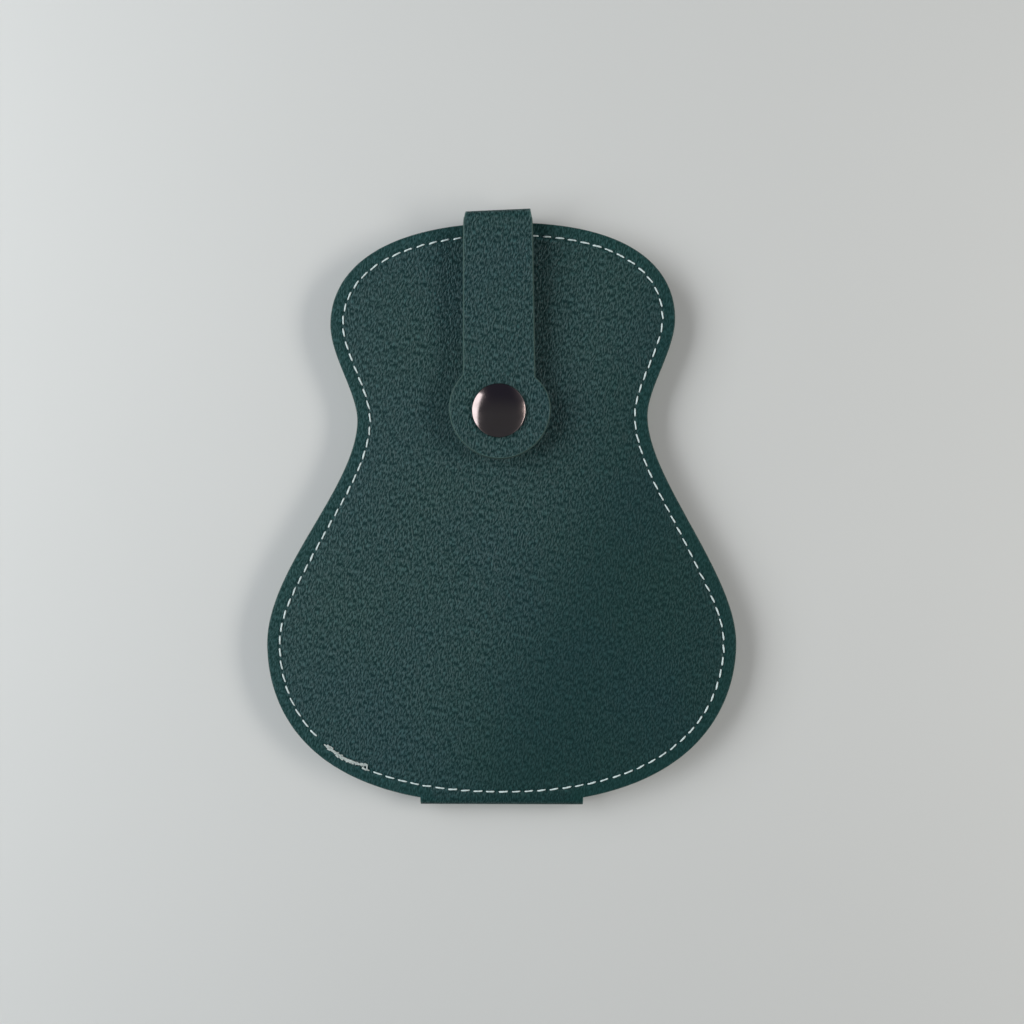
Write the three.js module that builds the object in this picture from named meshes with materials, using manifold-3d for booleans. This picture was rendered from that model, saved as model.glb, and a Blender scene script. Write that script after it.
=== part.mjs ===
// Guitar-shaped pick holder: a bifold case of dark green coated leather, closed by a strap and a snap.
// Units are millimetres. X runs across the case, Y from the fold to the strap, Z up from the table.
// The case lies closed on its back. The origin is at the middle of the whole object, on the table.
import * as THREE from "three";
import * as BufferGeometryUtils from "three/addons/utils/BufferGeometryUtils.js";
import Module from "manifold-3d";

const wasm = await Module();
wasm.setup();

// Outline of a half, heights measured from the outer edge of the fold
const caseLength = 137.1;
const upperBoutWidth = 81;
const upperBoutDrop = 23.2;
const waistWidth = 68.2;
const waistDrop = 45.9;
const lowerBoutWidth = 110.2;
const lowerBoutHeight = 38.3;
const outlineBottom = 0.5;
// Lengths of the curve handles at the top, upper bout, waist, lower bout and bottom
const topHandle = 30.5;
const boutUpHandle = 11.6;
const boutDownHandle = 7.5;
const waistUpHandle = 6.5;
const waistDownHandle = 15;
const lowerUpHandle = 17;
const lowerDownHandle = 10.8;
const bottomHandle = 49.6;
const stepsPerCurve = 9;

// Layers of a half, from the outside in
const coverThickness = 0.9;
const coreThickness = 0.7;
const liningThickness = 0.3;
const bandThickness = 0.4;
const layerGap = 0.05;
const closingGap = 0.1;

// Fold
const foldWidth = 38.3;
const foldRelief = 0.3;
const hingeHalfGap = 0.3;

// Perimeter seam
const seamInset = 2.9;
const threadWidth = 0.4;
const threadHeight = 0.2;
const threadClearance = 0.08;
const threadDepth = 0.05;
const grooveFloor = 0.03;

// Pocket bands, each closed at its bottom edge and open at its top edge
const bandNames = ["lower", "middle", "upper"];
const bandHeight = 24;
const lowerBandStart = 9;
const middleBandStart = 46;
const upperBandStart = 85;
const lowerDivider = 15;
const bandSeamInset = 1.2;
const notchRadius = 5.5;

// Strap
const strapOffset = -0.8;
const strapWidth = 16.2;
const strapThickness = 1;
const strapTongue = 12;
const strapEdgeGap = 0.2;
const strapBendRadius = 2.25;
const strapEndRadius = 11.8;
const strapEndLift = 0.6;
const notchClearance = 0.3;

// Snap
const snapHeight = 92.6;
const snapStack = 3.2;
const snapClearance = 0.3;
const capRadius = 6.25;
const capHeight = 1.7;
const capEdge = 0.55;
const postRadius = 1.5;
const flangeRadius = 4.4;
const flangeThickness = 0.45;
const socketRadius = 5;
const studRadius = 2.1;
const studFlangeRadius = 4.8;
const springWire = 0.3;
const roundSteps = 24;

// Worked out from the sizes above
const halfThickness = coverThickness + coreThickness + liningThickness + bandThickness + 3 * layerGap;
const caseThickness = 2 * halfThickness + closingGap;
const foldRadius = caseThickness / 2;
const foldInner = foldRadius - coverThickness;
const coreBottom = coverThickness + layerGap;
const coreTop = coreBottom + coreThickness;
const liningBottom = coreTop + layerGap;
const liningTop = liningBottom + liningThickness;
const bandBottom = liningTop + layerGap;
const bandTop = bandBottom + bandThickness;
const strapMid = (coreBottom + coreTop) / 2;
const flapBottom = caseThickness + snapStack;
const flapTop = flapBottom + strapThickness;
const strapStart = caseLength + strapEdgeGap;
const overallLength = strapStart + strapBendRadius + strapThickness / 2;
const postGap = layerGap;

const leather = { color: 0x2b4643, roughness: 0.55, metalness: 0 };
const liningCloth = { color: 0x27403e, roughness: 0.75, metalness: 0 };
const board = { color: 0x8d8a83, roughness: 0.9, metalness: 0 };
const whiteThread = { color: 0xdfe6e3, roughness: 0.8, metalness: 0 };
const greenThread = { color: 0x3a5a55, roughness: 0.8, metalness: 0 };
const gunmetal = { color: 0x5a5553, roughness: 0.3, metalness: 1 };
const brass = { color: 0xb59a5b, roughness: 0.35, metalness: 1 };

function solidOf(geometry) {
  const bare = geometry.clone();
  bare.deleteAttribute("normal");
  bare.deleteAttribute("uv");
  const merged = BufferGeometryUtils.mergeVertices(bare, 1e-5);
  const vertProperties = new Float32Array(merged.attributes.position.array);
  const triVerts = new Uint32Array(merged.index.array);
  return new wasm.Manifold(new wasm.Mesh({ numProp: 3, vertProperties, triVerts }));
}

function geometryOf(solid) {
  const mesh = solid.getMesh();
  const geometry = new THREE.BufferGeometry();
  geometry.setAttribute("position", new THREE.BufferAttribute(new Float32Array(mesh.vertProperties), 3));
  geometry.setIndex(new THREE.BufferAttribute(new Uint32Array(mesh.triVerts), 1));
  geometry.computeVertexNormals();
  return geometry;
}

function named(name, geometry, look) {
  const mesh = new THREE.Mesh(geometry, new THREE.MeshStandardMaterial(look));
  mesh.name = name;
  return mesh;
}

// A flat piece of the given shape between two heights
function slab(shape, bottom, top) {
  const geometry = new THREE.ExtrudeGeometry(shape, {
    depth: top - bottom,
    bevelEnabled: false,
    curveSegments: roundSteps / 2,
  });
  geometry.translate(0, 0, bottom);
  return geometry;
}

// A shape drawn in Y and Z, extruded across X and centred on it
function across(shape, width) {
  const geometry = new THREE.ExtrudeGeometry(shape, {
    depth: width,
    bevelEnabled: false,
    curveSegments: 6,
  });
  geometry.applyMatrix4(new THREE.Matrix4().set(0, 0, 1, -width / 2, 1, 0, 0, 0, 0, 1, 0, 0, 0, 0, 0, 1));
  return geometry;
}

function box(x0, x1, y0, y1, z0, z1) {
  const geometry = new THREE.BoxGeometry(x1 - x0, y1 - y0, z1 - z0);
  geometry.translate((x0 + x1) / 2, (y0 + y1) / 2, (z0 + z1) / 2);
  return geometry;
}

function disc(radius, x, y, z0, z1) {
  const geometry = new THREE.CylinderGeometry(radius, radius, z1 - z0, roundSteps);
  geometry.rotateX(Math.PI / 2);
  geometry.translate(x, y, (z0 + z1) / 2);
  return geometry;
}

function turned(profile) {
  const points = profile.map(([r, z]) => new THREE.Vector2(r, z));
  const geometry = new THREE.LatheGeometry(points, roundSteps);
  geometry.rotateX(Math.PI / 2);
  geometry.translate(0, snapHeight, 0);
  return geometry;
}

// Right-hand side of the body outline, from the top centre to the bottom centre
function rightSide() {
  const top = [0, caseLength];
  const upper = [upperBoutWidth / 2, caseLength - upperBoutDrop];
  const waist = [waistWidth / 2, caseLength - waistDrop];
  const lower = [lowerBoutWidth / 2, lowerBoutHeight];
  const bottom = [0, outlineBottom];
  const curves = [
    [top, [topHandle, caseLength], [upper[0], upper[1] + boutUpHandle], upper],
    [upper, [upper[0], upper[1] - boutDownHandle], [waist[0], waist[1] + waistUpHandle], waist],
    [waist, [waist[0], waist[1] - waistDownHandle], [lower[0], lower[1] + lowerUpHandle], lower],
    [lower, [lower[0], lower[1] - lowerDownHandle], [bottomHandle, outlineBottom], bottom],
  ];
  const points = [];
  for (const ends of curves) {
    const curve = new THREE.CubicBezierCurve(...ends.map(([x, y]) => new THREE.Vector2(x, y)));
    const part = curve.getPoints(stepsPerCurve);
    part.pop();
    points.push(...part);
  }
  points.push(new THREE.Vector2(0, outlineBottom));
  return points;
}

// The whole closed outline, anticlockwise seen from above, moved inwards by the given amount
function outline(inset) {
  const right = rightSide();
  const left = right.slice(1, -1).reverse().map((p) => new THREE.Vector2(-p.x, p.y));
  const all = [...right, ...left].reverse();
  return all.map((point, i) => {
    const before = all[(i + all.length - 1) % all.length];
    const after = all[(i + 1) % all.length];
    const along = after.clone().sub(before).normalize();
    return new THREE.Vector2(point.x - along.y * inset, point.y + along.x * inset);
  });
}

// Half the width of the outline, moved inwards by the given amount, at a height
function halfWidthAt(height, inset) {
  const right = outline(inset).filter((point) => point.x > -1e-6);
  right.sort((a, b) => a.y - b.y);
  const above = right.findIndex((point) => point.y >= height);
  const low = right[above - 1];
  const high = right[above];
  return low.x + ((height - low.y) / (high.y - low.y)) * (high.x - low.x);
}

// Outline with the fold's opening cut straight across its bottom
function sheetSolid(bottom, top) {
  const whole = solidOf(slab(new THREE.Shape(outline(0)), bottom, top));
  const reach = foldWidth / 2 + foldRelief;
  const opening = solidOf(box(-reach, reach, -foldRadius, foldRadius + foldRelief, bottom - 1, top + 1));
  return whole.subtract(opening);
}

// A flat band along the seam line, grown sideways by the given amount
function seamRing(grow, bottom, top) {
  const shape = new THREE.Shape(outline(seamInset - threadWidth / 2 - grow));
  shape.holes.push(new THREE.Path(outline(seamInset + threadWidth / 2 + grow)));
  return slab(shape, bottom, top);
}

// Ring sector in Y and Z, with a straight tail that starts at the end of the arc
function sector(centreY, centreZ, inner, outer, start, end) {
  const shape = new THREE.Shape();
  shape.absarc(centreY, centreZ, outer, start, end, end < start);
  shape.absarc(centreY, centreZ, inner, end, start, end > start);
  return shape;
}

const hingeAngle = hingeHalfGap / ((foldInner + foldRadius) / 2);
const strapAngle = hingeHalfGap / strapBendRadius;

// Outer leather of a half: the sheet, its stitch groove, and the first eighth turn of the fold
function cover(snapHole) {
  const lip = foldRadius + 2 * foldRelief;
  const tail = box(-foldWidth / 2, foldWidth / 2, foldRadius, lip, 0, coverThickness);
  const quarter = Math.PI / 4;
  const down = -Math.PI / 2;
  const bend = sector(foldRadius, foldRadius, foldInner, foldRadius, down, down - quarter + hingeAngle);
  const sheet = sheetSolid(0, coverThickness);
  const groove = seamRing(threadClearance, -1, threadDepth + threadHeight + threadClearance);
  let solid = sheet.add(solidOf(tail)).add(solidOf(across(bend, foldWidth))).subtract(solidOf(groove));
  if (snapHole) {
    const hole = disc(postRadius + snapClearance, -strapOffset, snapHeight, -1, coverThickness + 1);
    solid = solid.subtract(solidOf(hole));
  }
  return geometryOf(solid);
}

// Stiffening board: the back one is notched for the strap, the front one is bored for the rivet
function core(snapHole) {
  let solid = sheetSolid(coreBottom, coreTop);
  if (snapHole) {
    const hole = disc(flangeRadius + snapClearance, -strapOffset, snapHeight, coreBottom - 1, coreTop + 1);
    solid = solid.subtract(solidOf(hole));
  } else {
    const reach = strapWidth / 2 + notchClearance;
    const start = strapStart - strapTongue - notchClearance;
    const left = strapOffset - reach;
    const right = strapOffset + reach;
    const notch = box(left, right, start, caseLength + 1, coreBottom - 1, coreTop + 1);
    solid = solid.subtract(solidOf(notch));
  }
  return geometryOf(solid);
}

function bandStart(name) {
  return { lower: lowerBandStart, middle: middleBandStart, upper: upperBandStart }[name];
}

function dividersOf(name) {
  return name === "lower" ? [-lowerDivider, lowerDivider] : [0];
}

// Comb-shaped line of stitches: along the bottom of a band and up between its pockets
function comb(name, grow, bottom, top) {
  const low = bandStart(name) + bandSeamInset;
  const high = bandStart(name) + bandHeight - bandSeamInset;
  const half = threadWidth / 2 + grow;
  const clear = seamInset + threadWidth + 4 * threadClearance;
  const end = Math.min(halfWidthAt(low - threadWidth, clear), halfWidthAt(low + threadWidth, clear)) + grow;
  const shape = new THREE.Shape();
  shape.moveTo(-end, low - half);
  shape.lineTo(end, low - half);
  shape.lineTo(end, low + half);
  for (const x of dividersOf(name).slice().reverse()) {
    shape.lineTo(x + half, low + half);
    shape.lineTo(x + half, high + grow);
    shape.lineTo(x - half, high + grow);
    shape.lineTo(x - half, low + half);
  }
  shape.lineTo(-end, low + half);
  shape.closePath();
  return slab(shape, bottom, top);
}

// Middles of a band's pockets, where the thumb notches are cut
function pocketMiddles(name) {
  const edge = halfWidthAt(bandStart(name) + bandHeight, seamInset);
  const walls = [-edge, ...dividersOf(name), edge];
  return walls.slice(1).map((wall, i) => (wall + walls[i]) / 2);
}

function band(name) {
  const start = bandStart(name);
  const strip = box(-lowerBoutWidth, lowerBoutWidth, start, start + bandHeight, bandBottom - 1, bandTop + 1);
  let solid = solidOf(slab(new THREE.Shape(outline(0)), bandBottom, bandTop)).intersect(solidOf(strip));
  for (const x of pocketMiddles(name)) {
    solid = solid.subtract(solidOf(disc(notchRadius, x, start + bandHeight, bandBottom - 1, bandTop + 1)));
  }
  const floor = bandTop - threadDepth - threadHeight - grooveFloor;
  solid = solid.subtract(solidOf(seamRing(threadClearance, floor, bandTop + 1)));
  solid = solid.subtract(solidOf(comb(name, threadClearance, floor, bandTop + 1)));
  return geometryOf(solid);
}

// One half of the case, lying on its outer face
function half(side, snapHole) {
  const group = new THREE.Group();
  group.add(named(`${side}_cover`, cover(snapHole), leather));
  group.add(named(`${side}_core`, core(snapHole), board));
  group.add(named(`${side}_lining`, geometryOf(sheetSolid(liningBottom, liningTop)), liningCloth));
  const outerThread = seamRing(0, threadDepth, threadDepth + threadHeight);
  group.add(named(`${side}_seam_needle_thread`, outerThread, whiteThread));
  const threadTop = bandTop - threadDepth;
  const innerThread = seamRing(0, threadTop - threadHeight, threadTop);
  group.add(named(`${side}_seam_bobbin_thread`, innerThread, whiteThread));
  for (const name of bandNames) {
    group.add(named(`${side}_${name}_pocket_band`, band(name), liningCloth));
    const line = comb(name, 0, threadTop - threadHeight, threadTop);
    group.add(named(`${side}_${name}_pocket_thread`, line, greenThread));
  }
  return group;
}

function foldSpine() {
  const start = -Math.PI * 0.75 - hingeAngle;
  const end = -Math.PI * 1.25 + hingeAngle;
  const shape = sector(foldRadius, foldRadius, foldInner, foldRadius, start, end);
  return named("fold_spine", across(shape, foldWidth), leather);
}

const loopInner = strapBendRadius - strapThickness / 2;
const loopOuter = strapBendRadius + strapThickness / 2;
const lowCentre = strapMid + strapBendRadius;
const highCentre = flapBottom + strapThickness / 2 - strapBendRadius;

// Thinned tongue sewn inside the back half, and the first eighth turn of the loop
function strapBase() {
  const end = -Math.PI / 4 - strapAngle;
  const shape = new THREE.Shape();
  shape.moveTo(strapStart - strapTongue, coreBottom);
  shape.lineTo(strapStart, coreBottom);
  shape.absarc(strapStart, lowCentre, loopOuter, -Math.PI / 2, end, false);
  shape.absarc(strapStart, lowCentre, loopInner, end, -Math.PI / 2, true);
  shape.lineTo(strapStart, coreTop);
  shape.lineTo(strapStart - strapTongue, coreTop);
  shape.closePath();
  return named("strap_base", across(shape, strapWidth), leather);
}

function strapBend() {
  const start = -Math.PI / 4 + strapAngle;
  const end = Math.PI / 4 - strapAngle;
  const shape = new THREE.Shape();
  shape.absarc(strapStart, lowCentre, loopOuter, start, 0, false);
  shape.absarc(strapStart, highCentre, loopOuter, 0, end, false);
  shape.absarc(strapStart, highCentre, loopInner, end, 0, true);
  shape.absarc(strapStart, lowCentre, loopInner, 0, start, true);
  shape.closePath();
  return named("strap_bend", across(shape, strapWidth), leather);
}

// Straight strap with a round end, bored for the cap's rivet, and the last eighth turn of the loop
function strapFlap() {
  const side = strapWidth / 2;
  const meet = Math.asin(Math.sqrt(1 - (side / strapEndRadius) ** 2));
  const shape = new THREE.Shape();
  shape.moveTo(side, strapStart);
  shape.lineTo(-side, strapStart);
  shape.absarc(0, snapHeight + strapEndLift, strapEndRadius, Math.PI - meet, meet + 2 * Math.PI, false);
  shape.closePath();
  const hole = new THREE.Path();
  hole.absarc(0, snapHeight, postRadius + snapClearance, 0, 2 * Math.PI, true);
  shape.holes.push(hole);
  const bend = sector(strapStart, highCentre, loopInner, loopOuter, Math.PI / 4 + strapAngle, Math.PI / 2);
  const tail = box(-side, side, strapStart - strapThickness, strapStart, flapBottom, flapTop);
  const flat = solidOf(slab(shape, flapBottom, flapTop)).add(solidOf(tail));
  return named("strap_flap", geometryOf(flat.add(solidOf(across(bend, strapWidth)))), leather);
}

const socketTop = flapBottom - layerGap;
const socketBottom = caseThickness + flangeThickness + snapClearance;
const studBottom = caseThickness + layerGap;
const postEnd = socketTop - flangeThickness;
const studTop = postEnd - snapClearance;

// Domed cap with a rounded rim and its rivet down through the strap
function snapCap() {
  const base = flapTop + layerGap;
  const profile = [
    [0, postEnd],
    [postRadius, postEnd],
    [postRadius, base],
    [capRadius - capEdge, base],
    [capRadius, base + capEdge],
    [capRadius - capEdge / 2, base + 2 * capEdge],
    [capRadius * 0.7, base + capHeight * 0.88],
    [capRadius * 0.35, base + capHeight * 0.97],
    [0, base + capHeight],
  ];
  return named("snap_cap", turned(profile), gunmetal);
}

// Female half under the strap, with a groove inside for the spring
function snapSocket() {
  const bore = studRadius + snapClearance;
  const groove = bore + 4 * springWire;
  const middle = (socketBottom + postEnd) / 2;
  const profile = [
    [postRadius + snapClearance, postEnd],
    [bore, postEnd],
    [bore, middle + 2 * springWire],
    [groove, middle + 2 * springWire],
    [groove, middle - 2 * springWire],
    [bore, middle - 2 * springWire],
    [bore, socketBottom],
    [socketRadius - flangeThickness, socketBottom],
    [socketRadius, socketBottom + flangeThickness],
    [socketRadius, socketTop],
    [postRadius + snapClearance, socketTop],
    [postRadius + snapClearance, postEnd],
  ];
  return named("snap_socket", turned(profile), gunmetal);
}

// Wire ring that grips the neck of the stud
function snapSpring() {
  const middle = (socketBottom + postEnd) / 2;
  const ring = new THREE.TorusGeometry(studRadius + snapClearance + 2 * springWire, springWire, 6, roundSteps);
  ring.translate(0, snapHeight, middle);
  return named("snap_spring", ring, brass);
}

// Male half on the front cover, hollow from below for the rivet's barrel
function snapStud() {
  const bore = postRadius + snapClearance;
  const wall = studRadius - 0.1;
  const neck = studBottom + flangeThickness;
  const profile = [
    [bore - 0.1, studBottom],
    [studFlangeRadius, studBottom],
    [studFlangeRadius, neck],
    [wall, neck],
    [wall, studTop - 4 * springWire],
    [studRadius, studTop - 2 * springWire],
    [studRadius * 0.8, studTop],
    [0, studTop],
    [0, studTop - springWire],
    [bore - 0.1, studTop - springWire],
    [bore - 0.1, studBottom],
  ];
  return named("snap_stud", turned(profile), gunmetal);
}

// Flanged rivet behind the front cover, its barrel through the leather into the stud
function snapPost() {
  const flangeTop = caseThickness - coverThickness - postGap;
  const barrelTop = studBottom + 2 * flangeThickness;
  const barrel = postRadius - 0.1;
  const profile = [
    [0, flangeTop - flangeThickness],
    [flangeRadius, flangeTop - flangeThickness],
    [flangeRadius, flangeTop],
    [barrel, flangeTop],
    [barrel, barrelTop],
    [0, barrelTop],
  ];
  return named("snap_post", turned(profile), brass);
}

const backHalf = half("back", false);
const frontHalf = half("front", true);
frontHalf.rotation.y = Math.PI;
frontHalf.position.z = caseThickness;

// The strap and the snap sit a little to the left of the middle
const strapAndSnap = new THREE.Group();
strapAndSnap.position.x = strapOffset;
strapAndSnap.add(strapBase(), strapBend(), strapFlap());
strapAndSnap.add(snapCap(), snapSocket(), snapSpring(), snapStud(), snapPost());

const pickHolder = new THREE.Group();
pickHolder.position.y = -overallLength / 2;
pickHolder.add(backHalf, frontHalf, foldSpine(), strapAndSnap);

export default pickHolder;
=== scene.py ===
# Guitar-shaped pick holder: a bifold case of dark green coated leather, sewn all round in white,
# closed by a strap that loops over the top edge to a round gunmetal snap.
import math
import random

import bpy
import numpy as np
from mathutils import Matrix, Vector
from mathutils.geometry import delaunay_2d_cdt


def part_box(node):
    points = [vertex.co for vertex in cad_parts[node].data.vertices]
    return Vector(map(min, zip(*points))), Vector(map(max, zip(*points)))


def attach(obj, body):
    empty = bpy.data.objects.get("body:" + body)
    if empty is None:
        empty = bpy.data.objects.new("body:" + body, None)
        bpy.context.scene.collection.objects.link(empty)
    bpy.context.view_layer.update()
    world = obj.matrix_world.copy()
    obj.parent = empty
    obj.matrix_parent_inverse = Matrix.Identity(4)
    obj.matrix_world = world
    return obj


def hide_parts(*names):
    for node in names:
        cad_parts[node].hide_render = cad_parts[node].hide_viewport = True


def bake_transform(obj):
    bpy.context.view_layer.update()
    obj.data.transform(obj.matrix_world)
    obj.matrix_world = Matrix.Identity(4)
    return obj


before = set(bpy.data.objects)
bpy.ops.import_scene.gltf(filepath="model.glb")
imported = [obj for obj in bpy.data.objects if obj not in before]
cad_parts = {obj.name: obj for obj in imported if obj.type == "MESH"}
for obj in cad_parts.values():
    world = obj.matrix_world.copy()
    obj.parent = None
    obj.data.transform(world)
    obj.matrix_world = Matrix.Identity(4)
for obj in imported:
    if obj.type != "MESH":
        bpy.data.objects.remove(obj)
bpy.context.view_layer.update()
MM = 0.001


# Table and light: a pale grey sheet of card, a wide window to the upper left, a smaller one to the right,
# and a dim ceiling overhead, so that metal shows a dark middle and bright edges.
def linear(hex_colour):
    """An sRGB hex colour as the linear values that a shader takes."""
    channels = [int(hex_colour[i:i + 2], 16) / 255 for i in (1, 3, 5)]
    return [c / 12.92 if c <= 0.04045 else ((c + 0.055) / 1.055) ** 2.4 for c in channels] + [1.0]


def add_node(tree, kind, settings=(), inputs=()):
    """Adds a shader node. An input that is a socket of another node is linked, any other is set."""
    node = tree.nodes.new(kind)
    for key, value in dict(settings).items():
        setattr(node, key, value)
    for key, value in dict(inputs).items():
        if isinstance(value, bpy.types.NodeSocket):
            tree.links.new(value, node.inputs[key])
        else:
            node.inputs[key].default_value = value
    return node


def new_material(name):
    material = bpy.data.materials.new(name)
    material.use_nodes = True
    material.node_tree.nodes.clear()
    output = add_node(material.node_tree, "ShaderNodeOutputMaterial")
    return material, material.node_tree, output


def card_material():
    """Uncoated card: matt and pale grey, faintly cloudy, with a tooth that breaks up the light. The tooth is
    drawn about 1 mm across, as the real one is too fine to show."""
    material, tree, output = new_material("matt_card")
    place = add_node(tree, "ShaderNodeTexCoord").outputs["Object"]
    cloud = add_node(tree, "ShaderNodeTexNoise", inputs={"Vector": place, "Scale": 9.0, "Detail": 3.0})
    tint = add_node(tree, "ShaderNodeMix", {"data_type": "RGBA"},
                    {"Factor": cloud.outputs["Fac"], 6: linear("#cfd1cf"), 7: linear("#d3d5d3")})
    tooth = add_node(tree, "ShaderNodeTexNoise", inputs={"Vector": place, "Scale": 900.0, "Detail": 2.0})
    bump = add_node(tree, "ShaderNodeBump", inputs={"Height": tooth.outputs["Fac"], "Strength": 0.05,
                                                    "Distance": 0.0001})
    surface = add_node(tree, "ShaderNodeBsdfPrincipled", inputs={
        "Base Color": tint.outputs[2], "Roughness": 0.7, "IOR": 1.45, "Normal": bump.outputs["Normal"]})
    tree.links.new(surface.outputs["BSDF"], output.inputs["Surface"])
    return material


def make_table(width, sink):
    bpy.ops.mesh.primitive_plane_add(size=width, location=(0, 0, -sink))
    table = bpy.context.object
    table.name = "table"
    table.data.materials.append(card_material())


def make_window(name, place, size, power, colour):
    light = bpy.data.lights.new(name, "AREA")
    light.shape = "RECTANGLE"
    light.size, light.size_y = size
    light.energy = power
    light.color = linear(colour)[:3]
    lamp = bpy.data.objects.new(name, light)
    lamp.location = place
    lamp.rotation_euler = (-Vector(place)).to_track_quat("-Z", "Y").to_euler()
    bpy.context.collection.objects.link(lamp)


def make_room(ceiling, far_ceiling, walls):
    """Pale walls to the left and right, as far up as a window reaches; all else is as dim as the ceiling,
    which gets darker towards the far end."""
    world = bpy.data.worlds.new("dim_room")
    world.use_nodes = True
    world.node_tree.nodes.clear()
    tree = world.node_tree
    direction = add_node(tree, "ShaderNodeTexCoord").outputs["Generated"]
    parts = add_node(tree, "ShaderNodeSeparateXYZ", inputs={"Vector": direction})
    sideways = add_node(tree, "ShaderNodeMath", {"operation": "ABSOLUTE"}, {0: parts.outputs["X"]})
    beside = add_node(tree, "ShaderNodeMapRange", {"interpolation_type": "SMOOTHSTEP"},
                      {"Value": sideways.outputs["Value"], "From Min": 0.3, "From Max": 0.85})
    above = add_node(tree, "ShaderNodeMapRange", {"interpolation_type": "SMOOTHSTEP"},
                     {"Value": parts.outputs["Z"], "From Min": 0.2, "From Max": 0.8, "To Min": 1.0,
                      "To Max": 0.0})
    share = add_node(tree, "ShaderNodeMath", {"operation": "MULTIPLY"},
                     {0: beside.outputs["Result"], 1: above.outputs["Result"]})
    behind = add_node(tree, "ShaderNodeMapRange", {"interpolation_type": "SMOOTHSTEP"},
                      {"Value": parts.outputs["Y"], "From Min": -0.1, "From Max": 0.6})
    overhead = add_node(tree, "ShaderNodeMix", {"data_type": "RGBA"},
                        {"Factor": behind.outputs["Result"], 6: ceiling, 7: far_ceiling})
    shade = add_node(tree, "ShaderNodeMix", {"data_type": "RGBA"},
                     {"Factor": share.outputs["Value"], 6: overhead.outputs[2], 7: walls})
    sky = add_node(tree, "ShaderNodeBackground", inputs={"Color": shade.outputs[2], "Strength": 1.0})
    output = add_node(tree, "ShaderNodeOutputWorld")
    tree.links.new(sky.outputs["Background"], output.inputs["Surface"])
    bpy.context.scene.world = world


def make_camera(aim_x, aim_y, height, angle, roll):
    data = bpy.data.cameras.new("camera")
    data.sensor_width = 36
    data.angle = math.radians(angle)
    camera = bpy.data.objects.new("camera", data)
    camera.location = (aim_x * MM, aim_y * MM, height * MM)
    camera.rotation_euler = (0, 0, math.radians(roll))
    bpy.context.collection.objects.link(camera)
    bpy.context.scene.camera = camera


make_table(width=6, sink=0.0002)
make_window("left_window", (-0.49, 0.09, 0.32), (0.7, 0.34), 3.7, "#fbfdff")
make_window("right_window", (0.55, 0.0, 0.34), (0.5, 0.16), 2.05, "#fff9f2")
make_room(ceiling=(0.135, 0.15, 0.162, 1), far_ceiling=(0.066, 0.07, 0.1, 1), walls=(0.86, 0.87, 0.87, 1))
make_camera(aim_x=2.31, aim_y=-0.86, height=251.4, angle=52.0, roll=0.18)
bpy.context.scene.view_settings.view_transform = "Standard"
bpy.context.scene.view_settings.look = "None"


# Pattern of a half: the body of a guitar without its neck, drawn in millimetres from the edge of the fold.
# Every layer of the case is cut to it, so the layers end flush at a raw edge. The upper bout leans a little,
# as the knife does on a soft stack of leather.
fold_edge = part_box("fold_spine")[0].y / MM
case_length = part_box("back_cover")[1].y / MM - fold_edge
lower_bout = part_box("back_lining")[1].x / MM
case_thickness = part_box("front_cover")[1].z / MM
fold_width = (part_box("fold_spine")[1].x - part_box("fold_spine")[0].x) / MM
fold_radius = case_thickness / 2
UPPER_LEAN = 0.02
FLANK_LOW, FLANK_HIGH = 50, 90
SEAM_INSET = 3.0
SEAM_CUT_SHORT = 0.38
SHORT_CUT_HEIGHT, SHORT_CUT_REACH = 57, 9
STITCH_PITCH = 3.0
STEPS_PER_STITCH = 8


def curve(ends, steps=400):
    a, b, c, d = [np.array(end, float) for end in ends]
    t = np.linspace(0, 1, steps)[:, None]
    return (1 - t) ** 3 * a + 3 * (1 - t) ** 2 * t * b + 3 * (1 - t) * t ** 2 * c + t ** 3 * d


def spread(points, count, measured):
    """The closed line through the points as count points, at equal distances on the measured line."""
    loop = np.vstack([points, points[:1]])
    track = np.vstack([measured, measured[:1]])
    walked = np.concatenate([[0], np.cumsum(np.linalg.norm(np.diff(track, axis=0), axis=1))])
    wanted = np.linspace(0, walked[-1], count, endpoint=False)
    return np.column_stack([np.interp(wanted, walked, loop[:, i]) for i in (0, 1)])


def right_side(lower_drop, bottom_reach):
    """The right side of the outline from the top down. The two lengths shape its bottom corner."""
    top = (0, case_length)
    upper = (40.5, case_length - 23.2)
    waist = (34.1, case_length - 45.9)
    lower = (lower_bout, 38.3)
    bottom = (0, 0.5)
    return np.vstack([
        curve([top, (30.5, top[1]), (upper[0], upper[1] + 11.6), upper])[:-1],
        curve([upper, (upper[0], upper[1] - 7.5), (waist[0], waist[1] + 6.5), waist])[:-1],
        curve([waist, (waist[0], waist[1] - 15), (lower[0], lower[1] + 17), lower])[:-1],
        curve([lower, (lower[0], lower[1] - lower_drop), (bottom_reach, bottom[1]), bottom]),
    ])


def guitar_outline():
    left = right_side(11.7, 49.9)[1:-1] * (-1, 1)
    outline = np.vstack([left, right_side(10.8, 49.6)[::-1]])
    share = np.clip((outline[:, 1] - FLANK_LOW) / (FLANK_HIGH - FLANK_LOW), 0, 1)
    outline[:, 1] += UPPER_LEAN * outline[:, 0] * share * share * (3 - 2 * share)
    return outline


def inwards(loop):
    """The unit direction into an anticlockwise loop at each of its points."""
    along = np.roll(loop, -1, axis=0) - np.roll(loop, 1, axis=0)
    along /= np.linalg.norm(along, axis=1)[:, None]
    return np.column_stack([-along[:, 1], along[:, 0]])


def length_of(loop):
    return np.linalg.norm(np.roll(loop, -1, axis=0) - loop, axis=1).sum()


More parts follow.
